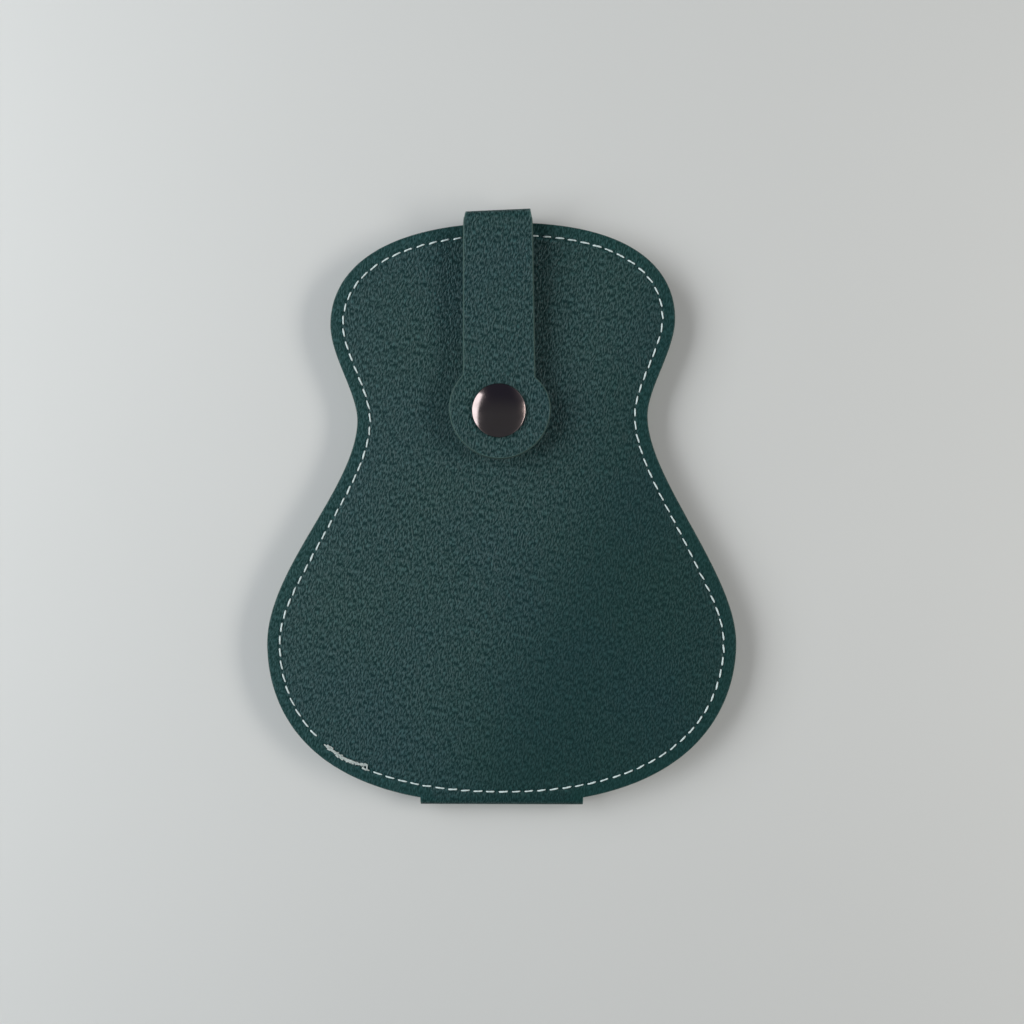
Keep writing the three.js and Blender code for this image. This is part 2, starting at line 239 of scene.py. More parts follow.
def seam_inset(s):
    """Distance of the seam from the edge. The machine cuts the long flank below the waist a little short."""
    return SEAM_INSET + SEAM_CUT_SHORT * np.exp(-((s - SHORT_CUT_HEIGHT) / SHORT_CUT_REACH) ** 2)


outline = guitar_outline()
seam_line = outline + inwards(outline) * SEAM_INSET
stitch_count = round(length_of(seam_line) / STITCH_PITCH)
rim = spread(outline, stitch_count * STEPS_PER_STITCH, seam_line)
rim_inwards = inwards(rim)


# Outer leather: one sheet of polyurethane coated split leather, 0.9 mm thick, with a fine printed grain.
# It is cut with a knife die, folded at the bottom and left raw at the edge. Each half of it is a closed
# sheet that meets the other one in the middle of the fold.
LEATHER_THICKNESS = 0.9
DIMPLE_RADIUS = 0.32
STROKE_WIDTH, STROKE_LENGTH = 0.31, 0.95
STROKE_LEAN = math.radians(-12)
DASH_LENGTH = 2.15
DIMPLE_DEPTH = 0.16
CHANNEL_DEPTH = 0.07
CHANNEL_WIDTH = 0.4
CROWN_WIDTH = 9


def inside(points, loop):
    """Which points lie inside a closed loop: a ray to the right crosses it an odd number of times."""
    x, y = points[:, 0][:, None], points[:, 1][:, None]
    ax, ay = loop[:, 0], loop[:, 1]
    bx, by = np.roll(ax, -1), np.roll(ay, -1)
    spans = (ay > y) != (by > y)
    with np.errstate(divide="ignore", invalid="ignore"):
        crossing = (bx - ax) * (y - ay) / (by - ay) + ax
    return (spans & (x < crossing)).sum(1) % 2 == 1


def distance_to(points, loop):
    return np.sqrt(((points[:, None, :] - loop[None, :, :]) ** 2).sum(2)).min(1)


def fill(loop, hole, spacing):
    """Points inside a closed loop, and triangles over the loop's points, the hole's and those."""
    low, high = loop.min(0), loop.max(0)
    rows = np.arange(low[1] + spacing / 2, high[1], spacing * 0.87)
    points = [np.empty((0, 2))]
    for number, y in enumerate(rows):
        xs = np.arange(low[0] + (number % 2) * spacing / 2, high[0], spacing)
        points.append(np.column_stack([xs, np.full(len(xs), y)]))
    points = np.vstack(points)
    points = points[inside(points, loop)]
    points = points[distance_to(points, loop) > spacing * 0.6]
    edges = [(i, (i + 1) % len(loop)) for i in range(len(loop))]
    if len(hole):
        points = points[~inside(points, hole)]
        points = points[distance_to(points, hole) > spacing * 0.5]
        edges += [(len(loop) + i, len(loop) + (i + 1) % len(hole)) for i in range(len(hole))]
    everything = np.vstack([loop, hole, points])
    result = delaunay_2d_cdt([Vector(p) for p in everything], edges, [], 1, 1e-7)
    origin = [source[0] for source in result[3]]
    triangles = []
    for face in result[2]:
        corners = [origin[i] for i in face]
        a, b, c = everything[corners]
        if len(hole) and inside((a + b + c)[None] / 3, hole)[0]:
            continue
        if (b[0] - a[0]) * (c[1] - a[1]) < (c[0] - a[0]) * (b[1] - a[1]):
            corners.reverse()
        triangles.append(corners)
    return points, triangles


def finish_mesh(name, points, faces, kinds, flat, from_edge, materials):
    """Makes the object. points are in millimetres from the edge of the fold, kinds pick each face's
    material, flat is its place on the uncut leather and from_edge the distance to the cut edge."""
    points = np.array(points, float)
    used = np.unique(np.concatenate([np.array(face) for face in faces]))
    number = np.full(len(points), -1)
    number[used] = np.arange(len(used))
    faces = [number[np.array(face)] for face in faces]
    points = points[used]
    volume = 0.0
    for face in faces:
        a = points[face[0]]
        for i in range(1, len(face) - 1):
            volume += np.dot(a, np.cross(points[face[i]], points[face[i + 1]]))
    if volume < 0:
        faces = [face[::-1] for face in faces]
    mesh = bpy.data.meshes.new(name)
    moved = (points + (0, fold_edge, 0)) * MM
    mesh.from_pydata(moved.tolist(), [], [face.tolist() for face in faces])
    for material in materials:
        mesh.materials.append(material)
    mesh.polygons.foreach_set("material_index", kinds)
    mesh.polygons.foreach_set("use_smooth", [True] * len(faces))
    corners = np.empty(len(mesh.loops), int)
    mesh.loops.foreach_get("vertex_index", corners)
    layer = mesh.uv_layers.new(name="pattern")
    layer.data.foreach_set("uv", np.array(flat, float)[used][corners].ravel())
    border = mesh.attributes.new("from_edge", "FLOAT", "POINT")
    border.data.foreach_set("value", np.array(from_edge, float)[used])
    mesh.set_sharp_from_angle(angle=math.radians(50))
    mesh.update()
    piece = bpy.data.objects.new(name, mesh)
    bpy.context.collection.objects.link(piece)
    return piece


def circle(x, y, radius, count=32):
    turns = np.arange(count) * math.tau / count
    return np.column_stack([x + radius * np.cos(turns), y + radius * np.sin(turns)])


NO_HOLE = np.empty((0, 2))


def shell(name, loop, profile, front, place, spacing, materials, tab=None, relief=None, hole=NO_HOLE):
    """A closed sheet cut to a loop. profile lists (inset, depth) from the back face, round the cut edge and
    over the front face, whose first ring is number front. A tab (columns, goal, rows) carries both faces on
    from those points of the edge to the line s = goal. place maps x, s and depth to the folded sheet."""
    count = len(loop)
    direction = inwards(loop)
    cut_edge = np.delete(loop, tab[0][1:-1], axis=0) if tab else loop
    flat, uv, from_edge = [], [], []
    for number, (inset, depth) in enumerate(profile):
        ring = loop + direction * inset
        depths = np.full(count, float(depth))
        if relief is not None and number >= front:
            depths += relief(ring, inset, np.arange(count))
        flat.append(np.column_stack([ring, depths]))
        uv.append(ring - direction * (depth if number < front else 0))
        from_edge.append(distance_to(ring, cut_edge))
    faces, kinds = [], []
    columns = set(tab[0][:-1]) if tab else set()
    for number in range(len(profile) - 1):
        for i in range(count):
            if number < front and i in columns:
                continue
            a, b = number * count + i, number * count + (i + 1) % count
            faces.append((a, b, b + count, a + count))
            kinds.append(0 if number >= front else 1)
    total = len(profile) * count

    def fill_face(ring_number, turned, kind):
        nonlocal total
        ring = flat[ring_number]
        points, triangles = fill(ring[:, :2], hole, spacing)
        points = np.vstack([hole, points])
        depth = np.full(len(points), float(profile[ring_number][1]))
        if relief is not None and not turned:
            depth += relief(points, distance_to(points, loop), None)
        flat.append(np.column_stack([points, depth]))
        uv.append(points)
        from_edge.append(distance_to(points, cut_edge))
        for triangle in triangles:
            corners = [ring_number * count + i if i < count else total + i - count for i in triangle]
            faces.append(tuple(corners[::-1] if turned else corners))
            kinds.append(kind)
        total += len(points)
        return total - len(points)

    front_hole = fill_face(len(profile) - 1, False, 0)
    back_hole = fill_face(0, True, 2)
    for i in range(len(hole)):
        after = (i + 1) % len(hole)
        faces.append((front_hole + i, front_hole + after, back_hole + after, back_hole + i))
        kinds.append(1)
    if tab:
        indices, goal, rows = tab

        def carry(ring_number):
            nonlocal total
            start = flat[ring_number][indices]
            lines = [[ring_number * count + i for i in indices]]
            for row in range(1, rows + 1):
                moved = start.copy()
                moved[:, 1] += (goal - start[:, 1]) * row / rows
                flat.append(moved)
                uv.append(moved[:, :2])
                from_edge.append(np.minimum(1.0, np.abs(moved[:, 0] - moved[[0, -1], 0][:, None]).min(0)))
                lines.append(list(range(total, total + len(indices))))
                total += len(indices)
            return lines

        outer, inner = carry(front), carry(0)
        for row in range(rows):
            for i in range(len(indices) - 1):
                faces.append((outer[row + 1][i], outer[row + 1][i + 1], outer[row][i + 1], outer[row][i]))
                faces.append((inner[row][i], inner[row][i + 1], inner[row + 1][i + 1], inner[row + 1][i]))
                kinds.extend((0, 2))
            for i, side in ((0, 1), (len(indices) - 1, -1)):
                between = [k * count + indices[i] for k in range(front - 1, 0, -1)] if row == 0 else []
                wall = [outer[row][i], *between, inner[row][i], inner[row + 1][i], outer[row + 1][i]]
                faces.append(tuple(wall[::side]))
                kinds.append(1)
        for i in range(len(indices) - 1):
            faces.append((inner[-1][i], inner[-1][i + 1], outer[-1][i + 1], outer[-1][i]))
            kinds.append(1)
    points = place(np.vstack(flat))
    return finish_mesh(name, points, faces, kinds, np.vstack(uv), np.concatenate(from_edge), materials)


def leather_material(name, greens, border_grain, edge_highlight_from, edge_highlight_to):
    """Coated leather: a dark satin skin with a fine printed grain of short strokes that lean to the right.
    The strokes stand up and gleam, the ground between them is dull; the stroke tops get a painted highlight
    and the ground painted shade. Away from the light on the left, towards the lower right, the grain and its
    painted light are made weaker. Outside the seam the grain is shallower, where border_grain of it is left,
    and a painted highlight lies along the cut edge, where its rounding catches the light."""
    material, tree, output = new_material(name)
    pattern = add_node(tree, "ShaderNodeUVMap", {"uv_map": "pattern"}).outputs["UV"]
    drift = add_node(tree, "ShaderNodeTexNoise", inputs={"Vector": pattern, "Scale": 0.35, "Detail": 2.0})
    shifted = add_node(tree, "ShaderNodeVectorMath", {"operation": "MULTIPLY_ADD"},
                       {0: drift.outputs["Color"], 1: (0.9, 0.5, 0.0), 2: pattern})
    strokes = add_node(tree, "ShaderNodeMapping", {"vector_type": "TEXTURE"},
                       {"Vector": shifted.outputs["Vector"], "Rotation": (0, 0, STROKE_LEAN),
                        "Scale": (STROKE_WIDTH, STROKE_LENGTH, 1)})
    print_marks = add_node(tree, "ShaderNodeTexNoise", inputs={"Vector": strokes.outputs["Vector"],
                                                               "Scale": 1.0, "Detail": 2.0})
    grain = add_node(tree, "ShaderNodeMapRange", inputs={"Value": print_marks.outputs["Fac"],
                                                         "From Min": 0.42, "From Max": 0.66})
    across = add_node(tree, "ShaderNodeVectorMath", {"operation": "DOT_PRODUCT"},
                      {0: pattern, 1: (0.6, -0.25, 0.0)})
    # Painted light falloff: the grain's bump and the painted highlight on its tops fade towards the lower
    # right, away from the light on the left.
    painted_light_falloff = add_node(tree, "ShaderNodeMapRange", {"interpolation_type": "SMOOTHSTEP"},
                        {"Value": across.outputs["Value"], "From Min": -18.0, "From Max": 4.0, "To Min": 1.0,
                         "To Max": 0.55})
    grain_with_light_falloff = add_node(tree, "ShaderNodeMath", {"operation": "MULTIPLY"},
                       {0: grain.outputs["Result"], 1: painted_light_falloff.outputs["Result"]})
    border = add_node(tree, "ShaderNodeAttribute", {"attribute_name": "from_edge"}).outputs["Fac"]
    open_grain = add_node(tree, "ShaderNodeMapRange", {"interpolation_type": "SMOOTHSTEP"},
                          {"Value": border, "From Min": 2.0, "From Max": 4.2, "To Min": border_grain,
                           "To Max": 1.0})
    height = add_node(tree, "ShaderNodeMath", {"operation": "MULTIPLY"},
                      {0: grain_with_light_falloff.outputs["Value"], 1: open_grain.outputs["Result"]})
    bump = add_node(tree, "ShaderNodeBump", inputs={"Height": height.outputs["Value"], "Strength": 1.0,
                                                    "Distance": 0.00009})
    cloud = add_node(tree, "ShaderNodeTexNoise", inputs={"Vector": pattern, "Scale": 0.03, "Detail": 2.0})
    dye = add_node(tree, "ShaderNodeMix", {"data_type": "RGBA"},
                   {"Factor": cloud.outputs["Fac"], 6: linear(greens[0]), 7: linear(greens[1])})
    # Painted highlight on the stroke tops and painted shade in the ground between them: the dye is scaled
    # from 0.55 to 1.72 with the grain's height.
    painted_grain_light = add_node(tree, "ShaderNodeMapRange", inputs={"Value": grain_with_light_falloff.outputs["Value"], "To Min": 0.55,
                                                        "To Max": 1.72})
    shaded = add_node(tree, "ShaderNodeVectorMath", {"operation": "SCALE"},
                      {0: dye.outputs[2], "Scale": painted_grain_light.outputs["Result"]})
    pressed = add_node(tree, "ShaderNodeMapRange", {"interpolation_type": "SMOOTHSTEP"},
                       {"Value": open_grain.outputs["Result"], "From Min": 0.0, "From Max": 1.0,
                        "To Min": 0.6, "To Max": 0.0})
    colour = add_node(tree, "ShaderNodeMix", {"data_type": "RGBA"},
                      {"Factor": pressed.outputs["Result"], 6: shaded.outputs["Vector"],
                       7: linear(greens[2])})
    # Painted highlight along the cut edge, where its rounding catches the light: the skin is mixed towards
    # the fourth green close to the edge.
    painted_edge_highlight = add_node(tree, "ShaderNodeMapRange", {"interpolation_type": "SMOOTHSTEP"},
                    {"Value": border, "From Min": edge_highlight_from, "From Max": edge_highlight_to, "To Min": 0.5,
                     "To Max": 0.0})
    skin = add_node(tree, "ShaderNodeMix", {"data_type": "RGBA"},
                    {"Factor": painted_edge_highlight.outputs["Result"], 6: colour.outputs[2], 7: linear(greens[3])})
    polish = add_node(tree, "ShaderNodeMapRange", inputs={"Value": height.outputs["Value"], "To Min": 0.6,
                                                          "To Max": 0.36})
    gleam = add_node(tree, "ShaderNodeMapRange", inputs={"Value": height.outputs["Value"], "To Min": 0.12,
                                                         "To Max": 0.6})
    surface = add_node(tree, "ShaderNodeBsdfPrincipled", inputs={
        "Base Color": skin.outputs[2], "Roughness": polish.outputs["Result"], "IOR": 1.5,
        "Specular IOR Level": gleam.outputs["Result"], "Normal": bump.outputs["Normal"]})
    tree.links.new(surface.outputs["BSDF"], output.inputs["Surface"])
    return material


def cut_edge_material(name, pale, dark):
    """The raw edge of a cut sheet: matt, a little paler, with short fibres along it."""
    material, tree, output = new_material(name)
    pattern = add_node(tree, "ShaderNodeUVMap", {"uv_map": "pattern"}).outputs["UV"]
    fibre = add_node(tree, "ShaderNodeTexNoise", inputs={"Vector": pattern, "Scale": 4.0, "Detail": 5.0,
                                                         "Roughness": 0.7})
    spread_out = add_node(tree, "ShaderNodeMapRange", inputs={"Value": fibre.outputs["Fac"],
                                                              "From Min": 0.3, "From Max": 0.7})
    colour = add_node(tree, "ShaderNodeMix", {"data_type": "RGBA"},
                      {"Factor": spread_out.outputs["Result"], 6: linear(dark), 7: linear(pale)})
    bump = add_node(tree, "ShaderNodeBump", inputs={"Height": fibre.outputs["Fac"], "Strength": 0.8,
                                                    "Distance": 0.00012})
    surface = add_node(tree, "ShaderNodeBsdfPrincipled", inputs={
        "Base Color": colour.outputs[2], "Roughness": 0.85, "IOR": 1.45, "Normal": bump.outputs["Normal"]})
    tree.links.new(surface.outputs["BSDF"], output.inputs["Surface"])
    return material


def fold_place(upper):
    """Lays the pattern down flat or, above the other half, round the fold. Depth is from the outer face."""
    def place(flat):
        x, s, depth = flat.T
        turn = np.clip((fold_radius - s) / fold_radius, 0, None)
        y = np.where(s >= fold_radius, s, fold_radius - (fold_radius - depth) * np.sin(turn))
        height = np.where(s >= fold_radius, depth, fold_radius - (fold_radius - depth) * np.cos(turn))
        return np.column_stack([x, y, case_thickness - height if upper else height])
    return place


def cover_relief(pillow, seed):
    """Depth of the stitch dimples and channel, less the slight fullness of the panel inside the seam."""
    draw = random.Random(seed)
    waves = [(draw.uniform(0.02, 0.09), draw.uniform(0, math.tau), draw.uniform(0, math.tau),
              draw.uniform(0.03, 0.05)) for _ in range(6)]

    def relief(points, inset, index):
        inset = np.broadcast_to(inset, len(points)).astype(float)
        lift = np.clip((inset - SEAM_INSET) / CROWN_WIDTH, 0, 1)
        depth = -pillow * lift * lift * (3 - 2 * lift)
        for size, turn, phase, rise in waves:
            depth += rise * lift * np.sin(points[:, 0] * size * math.cos(turn)
                                          + points[:, 1] * size * math.sin(turn) + phase)
        off_seam = inset - seam_inset(points[:, 1])
        depth += CHANNEL_DEPTH * np.exp(-(off_seam / CHANNEL_WIDTH) ** 2)
        if index is not None:
            along = (index % STEPS_PER_STITCH - STEPS_PER_STITCH / 2) * STITCH_PITCH / STEPS_PER_STITCH
            hole = (np.abs(along) - DASH_LENGTH / 2) ** 2 + off_seam ** 2
            depth += DIMPLE_DEPTH * np.exp(-hole / DIMPLE_RADIUS ** 2)
        return depth
    return relief


# The fourth green is the colour of the painted highlight along the cut edge.
GREENS = ("#153d38", "#143a40", "#133f39", "#587a73")
leather = leather_material("pebbled_coated_leather", GREENS, 0.6, 0.02, 0.3)
leather_edge = cut_edge_material("raw_leather_edge", "#3f5b56", "#1b3532")
leather_back = cut_edge_material("leather_backing", "#33453f", "#22332f")

cover_profile = [(0.12, LEATHER_THICKNESS), (0.0, 0.8), (0.0, 0.2), (0.06, 0.06), (0.18, 0.0)]
cover_profile += [(inset, 0.0) for inset in (0.6, 1.3, 2.0, 2.3, 2.5, 2.65, 2.8, 2.9, 3.0, 3.1, 3.2, 3.35,
                                             3.55, 3.9, 4.6, 6.0)]
fold_columns = [i for i, (x, s) in enumerate(rim) if s < 6 and -fold_width / 2 <= x <= fold_width / 2 + 0.4]
fold_middle = fold_radius * (1 - math.pi / 2)
FOLD_ROWS = 14
POST_HOLE_RADIUS = 1.8
COVER_SPACING = 2.2
snap_x = (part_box("snap_cap")[0].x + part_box("snap_cap")[1].x) / 2 / MM
snap_y = (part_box("snap_cap")[0].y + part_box("snap_cap")[1].y) / 2 / MM - fold_edge
post_hole = circle(snap_x, snap_y, POST_HOLE_RADIUS, 24)

fold_tab = (fold_columns, fold_middle, FOLD_ROWS)
front_leather = shell("front_leather", rim, cover_profile, 4, fold_place(True), COVER_SPACING,
                      [leather, leather_edge, leather_back], fold_tab, cover_relief(0.18, 3), post_hole)
back_leather = shell("back_leather", rim, cover_profile, 4, fold_place(False), COVER_SPACING,
                     [leather, leather_edge, leather_back], fold_tab, cover_relief(0.0, 4))
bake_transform(front_leather)
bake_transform(back_leather)
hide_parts("front_cover", "fold_spine")
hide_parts("back_cover")


# Perimeter seam: lockstitch in bonded white polyester thread, two plies twisted, a stitch every 3 mm.
# The needle thread shows on the leather and the bobbin thread inside. At the lower left the machine went
# back over its first stitches to lock them, and left a thick untidy stretch with a loose tail.
NEEDLE_THREAD = 0.35
BOBBIN_THREAD = 0.28
TACK_THREAD = 0.3
TACK_STITCHES = 74
NEEDLE_SLANT, BOBBIN_SLANT = 4.0, -3.0


def thread_material(name, colour, shade):
    """Bonded polyester thread: satin, with filaments along the ply. They are drawn about 0.05 mm apart, as
    the real ones are too fine to show."""
    material, tree, output = new_material(name)
    pattern = add_node(tree, "ShaderNodeUVMap", {"uv_map": "pattern"}).outputs["UV"]
    drawn = add_node(tree, "ShaderNodeVectorMath", {"operation": "MULTIPLY"},
                     {0: pattern, 1: (1.5, 9.0, 1.0)})
    filament = add_node(tree, "ShaderNodeTexNoise", inputs={"Vector": drawn.outputs["Vector"], "Scale": 2.0,
                                                            "Detail": 3.0})
    tint = add_node(tree, "ShaderNodeMix", {"data_type": "RGBA"},
                    {"Factor": filament.outputs["Fac"], 6: linear(shade), 7: linear(colour)})
    bump = add_node(tree, "ShaderNodeBump", inputs={"Height": filament.outputs["Fac"], "Strength": 0.5,
                                                    "Distance": 0.00004})
    surface = add_node(tree, "ShaderNodeBsdfPrincipled", inputs={
        "Base Color": tint.outputs[2], "Roughness": 0.55, "IOR": 1.54, "Sheen Weight": 0.15,
        "Normal": bump.outputs["Normal"]})
    tree.links.new(surface.outputs["BSDF"], output.inputs["Surface"])
    return material


def thread_piece(name, stitches, width, place, material, seed):
    """One mesh of separate stitches. Each is (x, s, direction, length, depth): it starts in its hole, comes
    up over the sheet and goes down again, and its two plies are twisted round each other."""
    draw = random.Random(seed)
    rings, sides = 15, 10
    t = np.linspace(-1, 1, rings)
    girth = np.sqrt(np.clip(1 - np.abs(t) ** 7, 0.02, 1))
    around = np.arange(sides) * math.tau / sides
    points, uv, faces = [], [], []
    for x, s, direction, length, depth in stitches:
        phase, slack = draw.uniform(0, math.tau), draw.uniform(0.9, 1.1)
        ply = 1 + 0.13 * np.cos(2 * (around[None, :] - t[:, None] * length * 1.1) + phase)
        radius = width / 2 * girth[:, None] * ply * slack
        along = np.repeat(t[:, None] * length / 2, sides, 1)
        across = radius * np.cos(around)
        rise = depth + 0.8 * width * np.abs(t[:, None]) ** 5 - 0.85 * radius * np.sin(around)
        cosine, sine = math.cos(direction), math.sin(direction)
        base = len(points) * rings * sides
        points.append(np.column_stack([(x + along * cosine - across * sine).ravel(),
                                       (s + along * sine + across * cosine).ravel(), rise.ravel()]))
        uv.append(np.column_stack([along.ravel(), np.tile(around * width / 2, rings)]))
        for ring in range(rings - 1):
            for side in range(sides):
                a, b = base + ring * sides + side, base + ring * sides + (side + 1) % sides
                faces.append((a, b, b + sides, a + sides))
        faces.append(tuple(range(base, base + sides))[::-1])
        faces.append(tuple(range(base + (rings - 1) * sides, base + rings * sides)))
    points = place(np.vstack(points))
    kinds, from_edge = [0] * len(faces), np.zeros(len(points))
    return finish_mesh(name, points, faces, kinds, np.vstack(uv), from_edge, [material])


def along_seam(position, offset=0.0):
    """Place and direction on the seam, counted in stitches round the outline, or offset inwards from it."""
    index = position * STEPS_PER_STITCH
    low = int(math.floor(index)) % len(rim)
    share = index - math.floor(index)
    line = rim + rim_inwards * (seam_inset(rim[:, 1]) + offset)[:, None]
    here, there = line[low], line[(low + 1) % len(rim)]
    place = here + (there - here) * share
    return place[0], place[1], math.atan2(there[1] - here[1], there[0] - here[0])


def seam_stitches(length, depth, slant, seed, skipped=()):
    """One stitch after another round the outline, each a little out of line and off its length."""
    draw = random.Random(seed)
    stitches = []
    for number in range(stitch_count):
        x, s, direction = along_seam(number + 0.5 + draw.uniform(-0.03, 0.03))
        turn = direction + math.radians(slant + draw.gauss(0, 2.0))
        long = length * draw.uniform(0.93, 1.06)
        if number not in skipped:
            stitches.append((x, s, turn, long, depth if not callable(depth) else depth(s)))
    return stitches


def backtack(first, last):
    """Short stitches crowded over each other into a lumpy cord, and the cut end of the thread beside it."""
    draw = random.Random(11)
    stitches = []
    for number in range(TACK_STITCHES):
        share = number / (TACK_STITCHES - 1)
        girth = 0.05 + 0.13 * math.sin(math.pi * min(1, share * 1.6)) ** 0.5 if share < 0.6 else 0.16
        sway = 2.4 * share * (share - 0.65)
        x, s, direction = along_seam(first + (last - first) * share, sway + draw.gauss(0, girth))
        turn = direction + math.radians(draw.gauss(6, 24))
        stitches.append((x, s, turn, draw.uniform(0.55, 1.15), draw.uniform(-0.4, -0.05)))
    x, s, direction = along_seam(last + 0.12, -0.15)
    stitches.append((x, s, direction + 0.1, 2.0, -0.1))
    stitches.append((x - 0.3, s + 0.15, direction - 0.3, 1.3, -0.2))
    stitches.append((x + 0.35, s + 0.5, direction - 1.2, 1.1, -0.3))
    return stitches


def nearest_stitch(x, s):
    """The stitch number, with its fraction, of the seam's closest point."""
    line = rim + rim_inwards * SEAM_INSET
    return int(np.argmin(((line - (x, s)) ** 2).sum(1))) / STEPS_PER_STITCH


white_thread = thread_material("bonded_white_polyester_thread", "#e2f1f0", "#b6cac9")
frayed_thread = thread_material("frayed_white_polyester_thread", "#d3dcd9", "#94a3a0")
tack_first = nearest_stitch(-0.757 * lower_bout, 13.6)
tack_last = nearest_stitch(-0.585 * lower_bout, 8.5)
tacked = set(range(int(tack_first), int(tack_last) + 1))
front_stitches = seam_stitches(DASH_LENGTH, -0.05, NEEDLE_SLANT, 5, tacked)
back_stitches = seam_stitches(DASH_LENGTH, 0.0, NEEDLE_SLANT, 7)
front_seam = thread_piece("front_needle_seam", front_stitches, NEEDLE_THREAD, fold_place(True),
                          white_thread, 6)
front_tack = thread_piece("front_backtack", backtack(tack_first, tack_last), TACK_THREAD, fold_place(True),
                          frayed_thread, 12)
back_seam = thread_piece("back_needle_seam", back_stitches, NEEDLE_THREAD, fold_place(False),
                         white_thread, 8)
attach(front_seam, "front")
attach(front_tack, "front")
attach(back_seam, "back")
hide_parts("front_seam_needle_thread")
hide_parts("back_seam_needle_thread")


# Stiffening boards: pressed fibre board, 0.7 mm, glued behind the leather of each half. They stop at the
# fold. The back one is notched for the end of the strap, and the front one bored for the rivet.
BOARD_INSET = 0.15
BOARD_OUTER, BOARD_INNER = 0.95, 1.65
FOLD_RELIEF = 0.3
FOLD_ZONE = 6
NOTCH_CLEARANCE = 0.3
FLANGE_HOLE_RADIUS = 4.7
LAYER_STEP = 0.8


def joined(lines, spacing):
    """One closed loop through lines that meet end to end, with a point at every corner."""
    loop = []
    for line in lines:
        line = np.array(line, float)
        walked = np.concatenate([[0], np.cumsum(np.linalg.norm(np.diff(line, axis=0), axis=1))])
        count = max(1, round(walked[-1] / spacing))
        wanted = np.linspace(0, walked[-1], count, endpoint=False)
        loop.append(np.column_stack([np.interp(wanted, walked, line[:, i]) for i in (0, 1)]))
    return np.vstack(loop)


def rim_between(low, high, right, inset):
    """The right side of the outline going up, or the left side going down, between two heights."""
    line = rim + rim_inwards * inset
    side = line[line[:, 0] > 0] if right else line[line[:, 0] <= 0]
    side = side[np.argsort(side[:, 1] if right else -side[:, 1])]
    ends = [low, high] if right else [high, low]
    order = 1 if right else -1
    heights = side[:, 1] * order
    start, end = [(np.interp(end * order, heights, side[:, 0]), end) for end in ends]
    middle = side[(side[:, 1] > low) & (side[:, 1] < high)]
    return np.vstack([[start], middle, [end]])


def half_loop(inset, notch=None):
    """The outline with the opening of the fold cut out of its bottom and, if asked, a notch in its top."""
    reach = fold_width / 2 + FOLD_RELIEF
    floor = fold_radius + FOLD_RELIEF
    line = rim + rim_inwards * inset
    elsewhere = 100 * (line[:, 1] > FOLD_ZONE)
    start = int(np.argmin(np.abs(line[:, 0] - reach) + elsewhere))
    end = int(np.argmin(np.abs(line[:, 0] + reach) + elsewhere))
    order = np.arange(start, end + (len(rim) if end < start else 0) + 1) % len(rim)
    round_line = line[order]
    opening = [round_line[-1], (-reach, floor), (reach, floor), round_line[0]]
    corners = [[opening[0], opening[1]], [opening[1], opening[2]], [opening[2], opening[3]]]
    if notch is None:
        return joined([round_line, *corners], LAYER_STEP)
    left, right, low = notch
    cut = (round_line[:, 0] > left) & (round_line[:, 0] < right) & (round_line[:, 1] > low)
    first, last = np.flatnonzero(cut)[[0, -1]]
    before, after = round_line[:first], round_line[last + 1:]
    sides = [before[-1], (before[-1][0], low), (after[0][0], low), after[0]]
    walls = [[sides[i], sides[i + 1]] for i in range(3)]
    return joined([before, *walls, after, *corners], LAYER_STEP)


def flat_place(upper):
    """Lays a flat layer down, its depth counted from the outer face of the case."""
    def place(flat):
        x, s, depth = flat.T
        return np.column_stack([x, s, case_thickness - depth if upper else depth])
    return place


def sheet_profile(outer, inner, inset, roundness):
    """Rings from the outer side of a flat layer round its edge to the side that faces into the case."""
    r = roundness
    return [(inset + r, outer), (inset, outer + r), (inset, inner - r), (inset + 0.3 * r, inner - 0.3 * r),
            (inset + r, inner), (inset + 3 * r, inner)]


def board_material():
    """Pressed fibre board, dyed dark: dead matt, with the mottled look of felted fibres."""
    material, tree, output = new_material("pressed_fibre_board")
    place = add_node(tree, "ShaderNodeUVMap", {"uv_map": "pattern"}).outputs["UV"]
    fibre = add_node(tree, "ShaderNodeTexNoise", inputs={"Vector": place, "Scale": 3.0, "Detail": 6.0})
    tint = add_node(tree, "ShaderNodeMix", {"data_type": "RGBA"},
                    {"Factor": fibre.outputs["Fac"], 6: linear("#2b332f"), 7: linear("#4a524c")})
    bump = add_node(tree, "ShaderNodeBump", inputs={"Height": fibre.outputs["Fac"], "Strength": 0.7,
                                                    "Distance": 0.0001})
    surface = add_node(tree, "ShaderNodeBsdfPrincipled", inputs={
        "Base Color": tint.outputs[2], "Roughness": 0.92, "Normal": bump.outputs["Normal"]})
    tree.links.new(surface.outputs["BSDF"], output.inputs["Surface"])
    return material


board = board_material()
strap_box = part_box("strap_base")
strap_x = (strap_box[0].x + strap_box[1].x) / 2 / MM
strap_lean = -0.3
notch = (strap_box[0].x / MM + strap_lean - NOTCH_CLEARANCE,
         strap_box[1].x / MM + strap_lean + NOTCH_CLEARANCE,
         strap_box[0].y / MM - fold_edge - NOTCH_CLEARANCE)
flange_hole = circle(snap_x, snap_y, FLANGE_HOLE_RADIUS)
board_profile = sheet_profile(BOARD_OUTER, BOARD_INNER, 0.0, 0.04)
for side, upper, loop, hole in (("front", True, half_loop(BOARD_INSET), flange_hole),
                                ("back", False, half_loop(BOARD_INSET, notch), NO_HOLE)):
    piece = shell(side + "_board", loop, board_profile, 4, flat_place(upper), 4.0, [board, board, board],
                  hole=hole)
    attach(piece, side)
    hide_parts(side + "_core")


# Linings: thin smooth coated fabric glued over the boards. They close the inside of each half and carry
# the pockets. Cut to the same outline, so their edge lies flush with the leather.
LINING_OUTER, LINING_INNER = 1.7, 2.0


